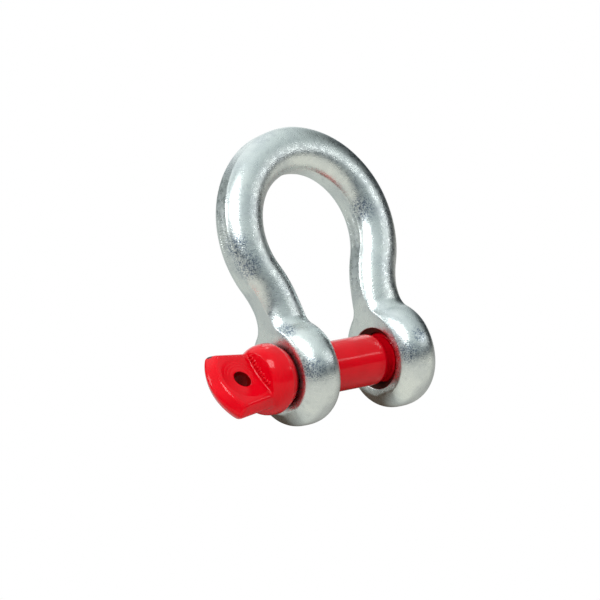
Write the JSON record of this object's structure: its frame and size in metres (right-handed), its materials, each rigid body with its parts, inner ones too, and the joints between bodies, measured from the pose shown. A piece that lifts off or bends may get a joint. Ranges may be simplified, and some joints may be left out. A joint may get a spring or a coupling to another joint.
{
  "type": "bow shackle",
  "caption": "Screw-pin bow shackle: a forged steel bow with two round ears, closed by a screw pin with a collar and an eye tab.",
  "frame": {"origin": "on the pin's axis, midway between the two ears", "axes": "+X along the pin from its head towards its threaded end, +Z from the pin to the crown, +Y square to the bow's plane"},
  "size_m": [0.1211, 0.0448, 0.1285],
  "materials": {
    "galvanised_steel": "zinc plated over a forged, shot-blasted surface: bright, finely mottled, semi-rough",
    "red_paint": "high-gloss red paint over a forging"
  },
  "bodies": {
    "bow": {"bow": "galvanised_steel"},
    "screw_pin": {"screw_pin": "red_paint"}
  },
  "joints": [
    {"name": "pin_withdraw", "type": "slide", "parent": "bow", "child": "screw_pin", "axis": [-1, 0, 0], "range_m": [0, 0.08]}
  ]
}
